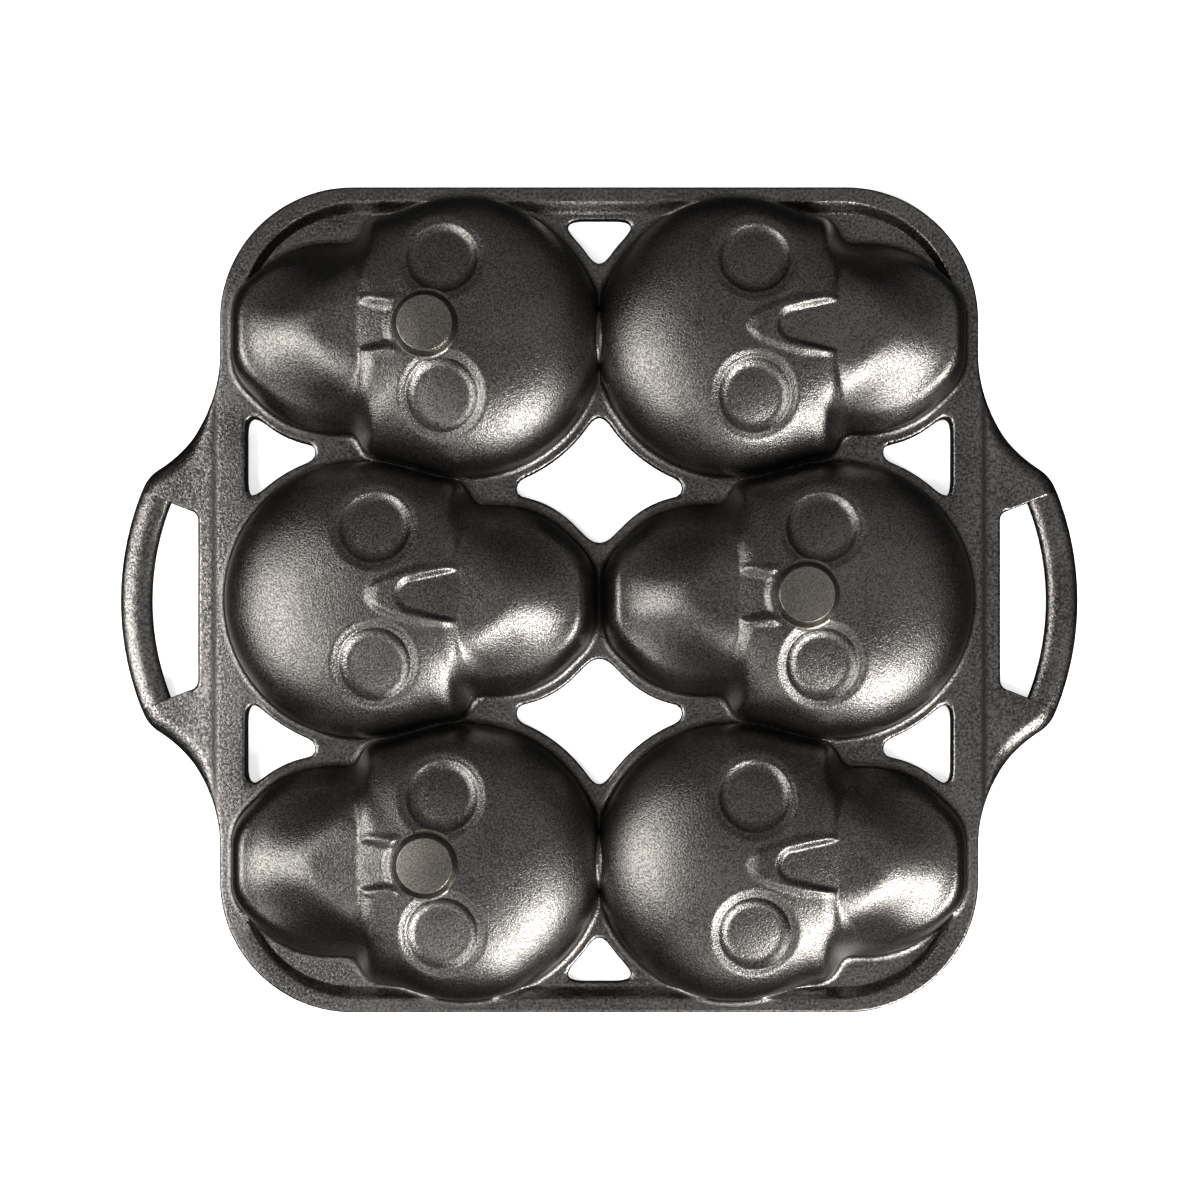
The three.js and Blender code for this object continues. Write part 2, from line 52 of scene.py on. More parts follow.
class Wire:  # one socket of a node tree; sums of wires add Math nodes
    def __init__(self, tree, socket=None):
        self.tree = tree
        self.socket = socket

    def node(self, kind, settings=None, inputs=None, output=0):
        made = self.tree.nodes.new(kind)
        for key, value in (settings or {}).items():
            setattr(made, key, value)
        for key, value in (inputs or {}).items():
            if isinstance(value, Wire):
                self.tree.links.new(value.socket, made.inputs[key])
            else:
                made.inputs[key].default_value = value
        return Wire(self.tree, made.outputs[output] if made.outputs else None)

    def maths(self, operation, *values):
        return self.node("ShaderNodeMath", {"operation": operation}, dict(enumerate(values)))

    def __add__(self, other):
        return self.maths("ADD", self, other)

    def __radd__(self, other):
        return self.maths("ADD", other, self)

    def __sub__(self, other):
        return self.maths("SUBTRACT", self, other)

    def __rsub__(self, other):
        return self.maths("SUBTRACT", other, self)

    def __mul__(self, other):
        return self.maths("MULTIPLY", self, other)

    def __rmul__(self, other):
        return self.maths("MULTIPLY", other, self)

    def __truediv__(self, other):
        return self.maths("DIVIDE", self, other)

    def __rtruediv__(self, other):
        return self.maths("DIVIDE", other, self)

    def __pow__(self, other):
        return self.maths("POWER", self, other)

    def __abs__(self):
        return self.maths("ABSOLUTE", self)

    def atLeast(self, other):
        return self.maths("MAXIMUM", self, other)

    def atMost(self, other):
        return self.maths("MINIMUM", self, other)

    def smooth(self, low, high):  # 0 below low, 1 above high
        inputs = {"Value": self, "From Min": low, "From Max": high}
        return self.node("ShaderNodeMapRange", {"interpolation_type": "SMOOTHSTEP"}, inputs)


def hypot(a, b):
    return (a * a + b * b) ** 0.5


ironSkin = {  # what all three skins share, sizes in millimetres
    "blotchSize": 28,
    "blotchShare": 0.2,
    "blotchDetail": 3.0,
    "pebbleDetail": 1.5,
    "grainDetail": 2.0,
    "noiseRoughness": 0.55,
    "wornFrom": 0.38,
    "wornTo": 0.62,
}
skullIron = {  # satin seasoned skin of the cups
    "dark": (0.036, 0.034, 0.032, 1),
    "pale": (0.107, 0.100, 0.093, 1),
    "roughness": 0.3,
    "roughnessSpread": 0.08,
    "metallic": 0.98,
    "pebbleSize": 0.8,
    "pebbleDepth": 0.2,
    "grainSize": 0.4,
    "grainShare": 0.3,
}
frameIron = {  # grainier skin of rail, web, ears and grips
    "dark": (0.030, 0.0285, 0.0272, 1),
    "pale": (0.140, 0.132, 0.125, 1),
    "roughness": 0.27,
    "roughnessSpread": 0.08,
    "metallic": 0.98,
    "pebbleSize": 1.1,
    "pebbleDepth": 0.2,
    "grainSize": 0.4,
    "grainShare": 0.4,
    "creaseX": 153.8,  # painted shade in the crease between rail and ear
    "creaseHalf": 2.2,
    "creaseLow": 2.0,
    "creaseHigh": 5.0,
    "creaseShade": 0.95,
}
padIron = {  # pads ground flat and seasoned
    "dark": (0.072, 0.0655, 0.0575, 1),
    "pale": (0.172, 0.155, 0.134, 1),
    "roughness": 0.3,
    "roughnessSpread": 0.14,
    "metallic": 0.97,
    "pebbleSize": 0.8,
    "pebbleDepth": 0.14,
    "grainSize": 0.4,
    "grainShare": 0.5,
}


def castIron(name, look):
    material = bpy.data.materials.new(name)
    material.use_nodes = True
    tree = material.node_tree
    tree.nodes.clear()
    start = Wire(tree)
    place = start.node("ShaderNodeTexCoord", output="Object")

    def noise(size, detail):
        return start.node("ShaderNodeTexNoise", None, {
            "Vector": place,
            "Scale": 1 / (size * mm),
            "Detail": detail,
            "Roughness": ironSkin["noiseRoughness"],
        })

    pebbles = noise(look["pebbleSize"], ironSkin["pebbleDetail"])
    grain = noise(look["grainSize"], ironSkin["grainDetail"])
    blotches = noise(ironSkin["blotchSize"], ironSkin["blotchDetail"])
    skin = pebbles * (1 - look["grainShare"]) + grain * look["grainShare"]
    mixed = skin * (1 - ironSkin["blotchShare"]) + blotches * ironSkin["blotchShare"]
    wearAndShade = mixed.smooth(ironSkin["wornFrom"], ironSkin["wornTo"])
    # painted shade: the colour goes almost to the dark tone along the crease between rail and ear, on the
    # top surfaces only
    if "creaseX" in look:
        across = start.node("ShaderNodeSeparateXYZ", None, {"Vector": place})
        height = start.node("ShaderNodeSeparateXYZ", None, {"Vector": place}, output=2)
        aside = abs(abs(across) - look["creaseX"] * mm)
        onTop = height.smooth(look["creaseLow"] * mm, look["creaseHigh"] * mm)
        wearAndShade = wearAndShade * (1 - look["creaseShade"] * onTop * (1 - aside.smooth(0, look["creaseHalf"] * mm)))
    shades = {0: wearAndShade, 6: look["dark"], 7: look["pale"]}
    colour = start.node("ShaderNodeMix", {"data_type": "RGBA"}, shades, output=2)
    bump = start.node("ShaderNodeBump", None, {"Height": skin, "Distance": look["pebbleDepth"] * mm})
    shader = start.node("ShaderNodeBsdfPrincipled", None, {
        "Base Color": colour,
        "Roughness": look["roughness"] + (blotches - 0.5) * look["roughnessSpread"],
        "Metallic": look["metallic"],
        "Normal": bump,
    })
    start.node("ShaderNodeOutputMaterial", None, {"Surface": shader})
    return material


skullMaterial = castIron("skullIron", skullIron)
frameMaterial = castIron("frameIron", frameIron)
padMaterial = castIron("padIron", padIron)
print("materials made")

skullPlan = {  # one skull in millimetres, along from the middle of the cranium to the chin
    "craniumRadius": 55,
    "cheekHalf": 48,
    "cheekReach": 42,
    "cheekCorner": 9,
    "jawHalf": 37.5,
    "jawChamfer": 75.97,
    "jawRounding": 12,
    "chinReach": 92,
    "chinRounding": 6,
    "templeRounding": 6,
    "notchRounding": 5,
    "middle": 13.3,  # along, where the rays of the mesh start
    "top": 38.5,
    "wall": 4.4,
    "footFillet": 3.0,
    "tuck": 0.4,  # how far the foot runs in under the web
    "tuckDepth": 0.04,
    "mouthRounding": 1.0,
}
panPlan = {  # places of the skulls and the frame round them
    "cornerX": 53.7,
    "middleX": 93.9,
    "rowY": 104.644,
    "halfWidth": 151.7,
    "halfLength": 165.044,
    "corner": 53,
    "webHeight": 4.4,
    "railHeight": 8.8,
    "railEndWidth": 5.4,
    "railSideWidth": 8.3,
    "pocketHalfWidth": 141.4,
    "pocketEndInset": 10.2,
    "landWidth": 5,
    "endLand": 1.9,
    "windowRounding": 8,
    "tipRounding": 5,
    "diamondHalfWidth": 34.8,
    "sideWindowX": 112.3,
    "windowReach": 50,
    "slopeEase": 0.12,
    "railEdge": 1.0,
    "sideLiftX": (92, 142),  # the web climbs to the rail beside the side windows
    "sideLiftY": (86, 98),
    "windowEdge": 1.2,
    "underEdge": 0.8,
}
handlePlan = {  # ear and grip, as on the right side
    "flareStartY": 98.5,
    "flareRadius": 54,
    "earCorner": 16,
    "gripReach": 34.2,
    "gripRadius": 112,
    "gripWidth": 12.8,
    "gripThickness": 7,
    "gripHalfAngle": math.radians(21.8),
    "earStrip": 9,
    "gapCorner": 4,
    "earHeight": 7.8,
    "slopeFrom": 146.0,  # where the rail's top starts to fall to the ear's
    "slopeTo": 168.0,
    "creaseX": 153.6,
    "creaseHalf": 2.4,
    "creaseDepth": 0.08,
    "outerEdge": 6.4,
    "outerFall": 0.67,  # depth of the outer edge as a share of its width
    "outerBend": 1.5,
    "swellFrom": 0.5,  # how far out from the rail the edge starts to broaden
    "swellTo": 14,
    "gapEdge": 1.6,
    "stepEdge": 0.5,
    "bowRows": 60,
    "sectionColumns": 48,
    "sharpAngle": 50,
}
bowX = panPlan["halfWidth"] + handlePlan["gripReach"] - handlePlan["gripRadius"]
bowOuter = handlePlan["gripRadius"] + handlePlan["gripWidth"] / 2


def softMin(a, b, reach):
    h = np.clip(0.5 + 0.5 * (b - a) / reach, 0, 1)
    return b + (a - b) * h - reach * h * (1 - h)


def softMax(a, b, reach):
    return -softMin(-a, -b, reach)


def smoothStep(value, low, high):
    t = np.clip((value - low) / (high - low), 0, 1)
    return t * t * (3 - 2 * t)


def easedRamp(share, ease):  # straight slope with short rounded ends
    t = np.clip(share, 0, 1)
    ends = np.minimum(t, 1 - t)
    low = np.where(ends < ease, ends * ends / (2 * ease), ends - ease / 2)
    return np.where(t < 0.5, low, 1 - ease - low) / (1 - ease)


def broadRound(gap, width):  # sloping edge, wider than it is deep
    bend = handlePlan["outerBend"]
    share = np.clip(1 - gap / width, 0, 1)
    return handlePlan["outerFall"] * width * (1 - (1 - share ** bend) ** (1 / bend))


def quarterRound(distance, radius):  # how far a rounded edge lies below its flat
    near = np.clip(1 - distance / radius, 0, 1)
    return radius * (1 - np.sqrt(1 - near * near))


def crossing(value, count, far):  # where a function rises past zero along each ray
    near = np.zeros(count)
    far = np.full(count, float(far))
    for _ in range(40):  # halvings
        middle = (near + far) / 2
        inside = value(middle) < 0
        near = np.where(inside, middle, near)
        far = np.where(inside, far, middle)
    return (near + far) / 2


def footDistance(u, v):  # outside the foot of a skull; inside it is negative
    p = skullPlan
    across = np.abs(v)
    cranium = np.hypot(u, across) - p["craniumRadius"]
    cheekU = np.abs(u - p["cheekReach"] / 2) - p["cheekReach"] / 2 + p["cheekCorner"]
    cheekV = across - p["cheekHalf"] + p["cheekCorner"]
    cheek = np.hypot(np.maximum(cheekU, 0), np.maximum(cheekV, 0))
    cheek = cheek + np.minimum(np.maximum(cheekU, cheekV), 0) - p["cheekCorner"]
    chamfer = (u + across) * math.sqrt(0.5) - p["jawChamfer"]
    side = softMax(across - p["jawHalf"], chamfer, p["jawRounding"])
    jaw = np.maximum(softMax(side, u - p["chinReach"], p["chinRounding"]), -u)
    return softMin(softMin(cranium, cheek, p["templeRounding"]), jaw, p["notchRounding"])


skulls = []
for row, up in (("upper", 1), ("middle", 0), ("lower", -1)):
    for side, right in (("left", -1), ("right", 1)):
        name = f"{row}_{side}"
        skulls.append({
            "name": name,
            "x": right * (panPlan["cornerX"] if up else panPlan["middleX"]),
            "y": up * panPlan["rowY"],
            "facing": right if up else -right,
            "corner": up != 0,
            "padded": name in ("upper_left", "lower_left", "middle_right"),
        })


def skullDistance(skull, x, y):
    return footDistance((x - skull["x"]) * skull["facing"], (y - skull["y"]) * skull["facing"])


def nearestSkull(x, y):
    return np.minimum.reduce([skullDistance(skull, x, y) for skull in skulls])


def boxDistance(x, y, halfWidth, halfLength, corner):  # of a rounded rectangle
    qx = np.abs(x) - halfWidth + corner
    qy = np.abs(y) - halfLength + corner
    outside = np.hypot(np.maximum(qx, 0), np.maximum(qy, 0))
    return outside + np.minimum(np.maximum(qx, qy), 0) - corner


pocketMouth = (panPlan["halfWidth"] - panPlan["railSideWidth"],
               panPlan["halfLength"] - panPlan["railEndWidth"],
               panPlan["corner"] - panPlan["railEndWidth"])
pocketFloor = (panPlan["pocketHalfWidth"],
               panPlan["halfLength"] - panPlan["pocketEndInset"],
               panPlan["corner"] - panPlan["pocketEndInset"])


def baseHeight(x, y):  # top of the frame: web, slope to the rail, rail, ears
    mouth = np.maximum(-boxDistance(x, y, *pocketMouth), 0)
    floor = np.maximum(boxDistance(x, y, *pocketFloor), 0)
    share = mouth / np.maximum(mouth + floor, 1e-6)
    rise = panPlan["railHeight"] - panPlan["webHeight"]
    across, along = np.abs(x), np.abs(y)
    lift = smoothStep(across, *panPlan["sideLiftX"]) * (1 - smoothStep(along, *panPlan["sideLiftY"]))
    rail = panPlan["railHeight"] - rise * easedRamp(share, panPlan["slopeEase"]) * (1 - lift)
    h = handlePlan
    toEar = smoothStep(across, h["slopeFrom"], h["slopeTo"])
    beside = np.abs(across - h["creaseX"]) / h["creaseHalf"]
    crease = h["creaseDepth"] * smoothStep(1 - beside, 0, 1) * (along < h["flareStartY"])
    return rail + (h["earHeight"] - panPlan["railHeight"]) * toEar - crease


def addPiece(name, mesh, node):
    piece = bpy.data.objects.new(name, mesh)
    bpy.context.scene.collection.objects.link(piece)
    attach(piece, "root")
    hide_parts(node)
    return piece


def smoothMesh(mesh, angle):
    mesh.polygons.foreach_set("use_smooth", np.ones(len(mesh.polygons), bool))
    mesh.set_sharp_from_angle(angle=math.radians(angle))


skullRelief = {  # named inputs of the relief tree, lengths in millimetres
    "Flatness": 2.8,
    "Shoulder": 0.5,
    "Jaw drop": 2.0,
    "Jaw sink": 0.8,
    "Jaw line": 39.5,
    "Jaw slope": 1.0,
    "Jaw sweep": 3.5,
    "Cheek slope": 7.5,
    "Cheek from": 14.0,
    "Cheek to": 31.9,
    "Step width": 7.0,
    "Jaw flat": 8.0,
    "Jaw ridge": 62.0,
    "Jaw curve": 2.3,
    "Jaw arch": 0.9,
    "Jaw half": skullPlan["jawHalf"],
    "Jaw edge": 7.0,
    "Jaw chamfer": skullPlan["jawChamfer"],
    "Chin reach": skullPlan["chinReach"],
    "Chin front": 4.0,
    "Chin drop": 7.0,
    "Chin from": 10.0,
    "Chin to": 33.0,
    "Chin corner": 3.0,
    "Chin flat": 0.0,
    "Chin round": 9.0,
    "Eye along": 7.0,
    "Eye across": 26.6,
    "Eye floor": 9.6,
    "Eye ledge": 14.2,
    "Eye rim": 17.8,
    "Eye depth": 2.6,
    "Eye bevel": 1.2,
    "Nose tip": 16.0,
    "Nose half": 6.5,
    "Nose flare": 0.24,
    "Nose depth": 0.2,
    "Nose edge": 1.7,
    "Padded edge": 1.2,
    "Bridge tip": 3.5,
    "Bridge half": 11.0,
    "Bridge edge": 2.0,
    "Bridge run": 3.0,
    "Bridge rise": 1.3,
    "Pad along": skullPlan["middle"],
    "Pad seat": 13.6,
    "Pad blend": 3.0,
    "Padded": 0.0,
    "Relief fade": 8.0,
    "Valley": 3.0,
}
pureNumbers = ("Flatness", "Shoulder", "Jaw arch", "Jaw curve", "Nose flare", "Bridge run", "Padded",
               "Relief fade", "Valley")
cupMesh = {
    "columns": 320,
    "faceRows": 84,
    "wallRows": 24,
    "filletRows": 7,
    "mouthRows": 4,
    "wallFrom": 0.8,  # share of the foot radius where the closer rings start
    "innerShare": 2,  # the inside has every second ring
    "easeColumns": 9,
    "outlineEase": 18,
    "easeFrom": 0.55,
    "easeTo": 0.98,
    "rayReach": 200,
    "meetingDepth": 12,  # how far inside a skull its neighbour's wall is looked at
    "sharpAngle": 50,
}
cupFields = ("spread", "inset", "level", "crest", "ground", "nextRise", "laid", "laidRise")


def newTree(name, inputs):
    tree = bpy.data.node_groups.new(name, "GeometryNodeTree")
    kinds = {"Geometry": "NodeSocketGeometry", "Material": "NodeSocketMaterial"}
    for key, value in inputs.items():
        kind = kinds.get(key, "NodeSocketFloat")
        socket = tree.interface.new_socket(name=key, in_out="INPUT", socket_type=kind)
        if kind == "NodeSocketFloat":
            socket.default_value = value
    tree.interface.new_socket(name="Geometry", in_out="OUTPUT", socket_type="NodeSocketGeometry")
    group = tree.nodes.new("NodeGroupInput")
    return tree, {key: Wire(tree, group.outputs[key]) for key in inputs}


def closeTree(start, shape, material):
    realized = start.node("GeometryNodeRealizeInstances", None, {"Geometry": shape})
    dressed = start.node("GeometryNodeSetMaterial", None, {"Geometry": realized, "Material": material})
    start.node("NodeGroupOutput", None, {"Geometry": dressed})


def grow(tree, mesh, values):  # runs a tree on a mesh and returns the plain result
    base = bpy.data.objects.new(tree.name, mesh)
    bpy.context.scene.collection.objects.link(base)
    modifier = base.modifiers.new(tree.name, "NODES")
    modifier.node_group = tree
    for item in tree.interface.items_tree:
        if item.in_out == "INPUT" and item.name in values:
            modifier[item.identifier] = values[item.name]
    grown = base.evaluated_get(bpy.context.evaluated_depsgraph_get())
    result = bpy.data.meshes.new_from_object(grown)
    bpy.data.objects.remove(base)
    for attribute in [a.name for a in result.attributes if a.name in cupFields]:
        result.attributes.remove(result.attributes[attribute])
    return result


def reliefTree():
    inputs = {"Geometry": None}
    for key, value in skullRelief.items():
        inputs[key] = value if key in pureNumbers else value * mm
    inputs["Material"] = None
    tree, size = newTree("skullRelief", inputs)
    start = Wire(tree)
    field = {
        key: start.node("GeometryNodeInputNamedAttribute", {"data_type": "FLOAT"}, {"Name": key})
        for key in cupFields
    }
    place = start.node("GeometryNodeInputPosition")
    u = start.node("ShaderNodeSeparateXYZ", None, {0: place}, output=0)
    v = start.node("ShaderNodeSeparateXYZ", None, {0: place}, output=1)
    across = abs(v)
    spread = field["spread"]
    rounding = (1 - spread ** size["Flatness"]).atLeast(0) ** size["Shoulder"]
    dome = field["level"] + (field["crest"] - field["level"]) * rounding
    cheek = across.smooth(size["Cheek from"], size["Cheek to"])
    jawLine = size["Jaw line"] + size["Jaw sweep"] * cheek
    jawSlope = size["Jaw slope"] + size["Cheek slope"] * cheek
    jaw = u.smooth(jawLine - jawSlope, jawLine + jawSlope)
    stepShare = ((u - jawLine + size["Step width"]) / size["Step width"]).atLeast(0).atMost(1)
    stepFall = stepShare * stepShare
    slant = (u + hypot(v, size["Chin round"])) * math.sqrt(0.5)
    fromSlant = size["Jaw chamfer"] + size["Chin corner"] - slant
    fromFront = size["Chin reach"] + size["Chin front"] - u
    fromChin = start.maths("SMOOTH_MIN", fromFront, fromSlant, size["Chin round"])
    chinDrop = size["Chin drop"] * (1 - fromChin.smooth(size["Chin from"], size["Chin to"]))
    narrowing = u.smooth(jawLine, size["Jaw ridge"])
    flat = size["Jaw flat"] + (size["Chin flat"] - size["Jaw flat"]) * narrowing
    flank = ((across - flat) / (size["Jaw half"] - flat)).atLeast(0)
    arch = 1 - size["Jaw arch"] * flank ** size["Jaw curve"]
    edgeShare = 1 - (field["inset"] / size["Jaw edge"]).atLeast(0).atMost(1)
    jawFall = size["Jaw drop"] + size["Jaw sink"] + chinDrop
    jawRise = (field["crest"] - field["level"] - jawFall) * arch.atLeast(0)
    jawDome = field["level"] + jawRise * (1 - edgeShare * edgeShare).atLeast(0) ** 0.5
    fromEye = hypot(u - size["Eye along"], across - size["Eye across"])
    eyeRun = size["Eye ledge"] - size["Eye floor"]
    eyeWall = ((fromEye - size["Eye floor"]) / eyeRun).atLeast(0).atMost(1)
    eyeBevel = 1 - fromEye.smooth(size["Eye ledge"], size["Eye rim"])
    eye = size["Eye depth"] * (1 - eyeWall ** 2) + size["Eye bevel"] * eyeBevel
    edge = size["Nose edge"] + size["Padded"] * size["Padded edge"]
    bridgeShare = ((u - size["Bridge tip"]) / (2 * size["Bridge half"])).atLeast(0).atMost(1)
    fromBridge = size["Bridge half"] * bridgeShare ** 0.5 - across
    brow = size["Bridge edge"]
    bridge = size["Bridge rise"] * fromBridge.smooth(0 - brow, brow)
    bridge = bridge * u.smooth(size["Bridge tip"] - brow, size["Bridge tip"] + size["Bridge run"] * brow)
    past = u - size["Nose tip"] - size["Nose half"]  # beyond the round upper end of the dent
    noseHalf = size["Nose half"] + size["Nose flare"] * past.atLeast(0)
    fromNose = hypot(past.atMost(0), v) - noseHalf
    channel = 1 - fromNose.smooth(0 - edge, edge)
    noseRun = size["Jaw line"] - size["Nose tip"]
    noseShare = ((u - size["Nose tip"]) / noseRun).atLeast(0).atMost(1)
    noseFall = (size["Nose depth"] + (size["Jaw drop"] - size["Nose depth"]) * noseShare) * channel
    fall = (size["Jaw drop"] * stepFall).atLeast(noseFall)
    hood = bridge * (1 - stepFall) * (1 - channel)
    fromPad = hypot(u - size["Pad along"], v)
    underPad = 1 - fromPad.smooth(size["Pad seat"], size["Pad seat"] + size["Pad blend"])
    seat = 1 - size["Padded"] * underPad
    relief = ((hood - fall) * seat - eye) * (1 - spread ** size["Relief fade"])
    face = (dome + relief) * (1 - jaw) + jawDome * jaw
    own = (face - field["ground"]) * (1 - field["laid"]) + field["laidRise"] * field["laid"]
    power = size["Valley"]  # two walls meet in a rounded valley
    powers = (own / mm).atLeast(0) ** power + (field["nextRise"] / mm) ** power
    meeting = powers ** (1 / power) * mm
    height = field["ground"] + meeting + own.atMost(0)
    raised = start.node("ShaderNodeCombineXYZ", None, {0: u, 1: v, 2: height})
    shape = start.node("GeometryNodeSetPosition", None, {"Geometry": size["Geometry"], "Position": raised})
    closeTree(start, shape, size["Material"])
    return tree


rayAngles = np.arange(cupMesh["columns"]) * 2 * np.pi / cupMesh["columns"]


def onRays(r):
    return skullPlan["middle"] + r * np.cos(rayAngles), r * np.sin(rayAngles)


def easedRing(values, reach):  # running mean round the skull
    weights = np.hanning(2 * reach + 3)[1:-1]
    shifts = range(-reach, reach + 1)
    return sum(w * np.roll(values, shift) for w, shift in zip(weights, shifts)) / weights.sum()


footRadius = crossing(lambda r: footDistance(*onRays(r)), len(rayAngles), cupMesh["rayReach"])
easedRadius = easedRing(footRadius, cupMesh["outlineEase"])


def spreadOf(r, edge, eased):  # share of the way to the foot; the outline's corners fade inwards
    share = smoothStep(np.clip(r / edge, 0, 1), cupMesh["easeFrom"], cupMesh["easeTo"])
    return np.clip(r / (eased + (edge - eased) * share), 0, 1)


def wallRise(skull, x, y):  # height of a skull's wall and foot above the frame, near its foot
    u, v = (x - skull["x"]) * skull["facing"], (y - skull["y"]) * skull["facing"]
    along = u - skullPlan["middle"]
    around = np.interp(np.arctan2(v, along), rayAngles, footRadius, period=2 * np.pi)
    spread = np.clip(np.hypot(along, v) / around, 0, 1)
    fillet = skullPlan["footFillet"]
    dome = (1 - spread ** skullRelief["Flatness"]) ** skullRelief["Shoulder"]
    inside = fillet + (skullPlan["top"] - baseHeight(x, y) - fillet) * dome
    distance = skullDistance(skull, x, y)
    return np.where(distance > 0, quarterRound(distance, fillet), inside)


def ringSteps():  # shares of the foot radius, closer together on the steep wall
    turnAt = cupMesh["wallFrom"]
    power = skullRelief["Flatness"] / 2
    face = np.linspace(0, turnAt, cupMesh["faceRows"] + 1)[1:]
    wall = np.linspace(math.asin(turnAt ** power), math.pi / 2, cupMesh["wallRows"] + 1)[1:]
    return np.concatenate([face, np.sin(wall) ** (1 / power)])


def evenLevel(level):  # eases the step where a foot runs from the web onto the rail
    reach = cupMesh["easeColumns"]
    turned = [np.roll(level, shift) for shift in range(-reach, reach + 1)]
    return easedRing(np.maximum.reduce(turned), reach)


def cupGrid(skull):
    p = skullPlan
    others = [other for other in skulls if other is not skull]

    def world(u, v):
        return skull["x"] + skull["facing"] * u, skull["y"] + skull["facing"] * v

    def beyondCell(r):
        u, v = onRays(r)
        own = footDistance(u, v)
        meets = [own - skullDistance(other, *world(u, v)) for other in others]
        return np.maximum.reduce([own - p["footFillet"] - p["tuck"], *meets])

    def beyondMouth(r):
        u, v = onRays(r)
        cut = -u - panPlan["cornerX"] if skull["corner"] else -cupMesh["rayReach"]
        return np.maximum(footDistance(u, v), cut) + p["wall"]

    count = len(rayAngles)
    cellRadius = crossing(beyondCell, count, cupMesh["rayReach"])
    mouthRadius = crossing(beyondMouth, count, cupMesh["rayReach"])
    easedMouth = easedRing(mouthRadius, cupMesh["outlineEase"])
    wallRadius = np.minimum(footRadius, cellRadius)
    footLevel = evenLevel(baseHeight(*world(*onRays(footRadius)))) + p["footFillet"]
    steps = ringSteps()
    zero = np.zeros(count)
    rows = []

    def addRow(r, **fields):
        rows.append({"r": r, **{key: zero + fields.get(key, 0) for key in cupFields}})

    def addOuter(r):
        u, v = onRays(r)
        x, y = world(u, v)
        distance = footDistance(u, v)
        laid = (distance > 0) * 1.0
        fillet = p["footFillet"]
        rise = np.where(distance < fillet, quarterRound(distance, fillet), -p["tuckDepth"])
        nextRise = np.maximum.reduce([wallRise(other, x, y) for other in others])
        nextRise = np.where(nearestSkull(x, y) > -cupMesh["meetingDepth"], nextRise, 0)
        addRow(r, spread=spreadOf(r, footRadius, easedRadius), level=footLevel, crest=p["top"],
               inset=-distance, ground=baseHeight(x, y), nextRise=nextRise, laid=laid, laidRise=rise)

    addOuter(zero)
    for step in steps:
        addOuter(step * wallRadius)
    for share in np.linspace(0, 1, cupMesh["filletRows"] + 1)[1:]:
        addOuter(wallRadius + (cellRadius - wallRadius) * share)
    addRow(cellRadius, laid=1)
    rounding = p["mouthRounding"]
    for turn in np.linspace(0, math.pi / 2, cupMesh["mouthRows"]):
        lift = rounding * (1 - math.cos(turn))
        addRow(mouthRadius + rounding * (1 - math.sin(turn)), laid=1, laidRise=lift)
    skip = cupMesh["innerShare"]
    for step in [*steps[::-1][skip::skip], 0.0]:
        u, v = onRays(step * mouthRadius)
        spread = spreadOf(step * mouthRadius, mouthRadius, easedMouth)
        addRow(step * mouthRadius, spread=spread, inset=-footDistance(u, v) - p["wall"],
               level=rounding, crest=p["top"] - p["wall"])
    return rows


def cupMeshData(skull):
    rows = cupGrid(skull)
    count = len(rayAngles)
    u, v = zip(*(onRays(row["r"]) for row in rows))
    points = np.stack([np.stack(u), np.stack(v), np.zeros((len(rows), count))], axis=2)
    ring = points[1:-1].reshape(-1, 3)
    vertices = np.vstack([points[0, :1], ring, points[-1, :1]]) * mm
    column = np.arange(count)
    following = (column + 1) % count
    faces = []
    for row in range(len(rows) - 3):
        here, there = 1 + row * count, 1 + (row + 1) * count
        quads = (here + column, there + column, there + following, here + following)
        faces += np.stack(quads, axis=1).tolist()
    last = len(vertices) - 1
    faces += np.stack((0 * column, 1 + column, 1 + following), axis=1).tolist()
    end = last - count
    faces += np.stack((last + 0 * column, end + following, end + column), axis=1).tolist()
    mesh = bpy.data.meshes.new("cupGrid")
    mesh.from_pydata(vertices.tolist(), [], faces)
    for key in cupFields:
        inner = np.concatenate([row[key] for row in rows[1:-1]])
        values = np.concatenate([rows[0][key][:1], inner, rows[-1][key][:1]])
        if key not in ("spread", "laid"):
            values = values * mm
        attribute = mesh.attributes.new(key, "FLOAT", "POINT")
        attribute.data.foreach_set("value", values.astype(np.float32))
    return mesh


relief = reliefTree()
for skull in skulls:
    values = {"Padded": float(skull["padded"]), "Material": skullMaterial}
    mesh = grow(relief, cupMeshData(skull), values)
    turn = Matrix.Rotation(0 if skull["facing"] > 0 else math.pi, 4, "Z")
    mesh.transform(Matrix.Translation((skull["x"] * mm, skull["y"] * mm, 0)) @ turn)
    smoothMesh(mesh, cupMesh["sharpAngle"])
    addPiece(f"skullCup.{skull['name']}", mesh, f"skull_cup_{skull['name']}")
print("skull cups grown")

footPad = {
    "radius": 10.8,
    "draft": 1.4,
    "top": 41.5,
    "seat": 36.2,  # its flat underside, inside the skull's wall
    "edge": 0.35,
    "foot": 1.8,
    "sink": 0.6,  # how far the foot's fillet ends below the dome's top
    "columns": 96,
    "edgeRows": 7,
    "footRows": 6,
    "sharpAngle": 35,
}


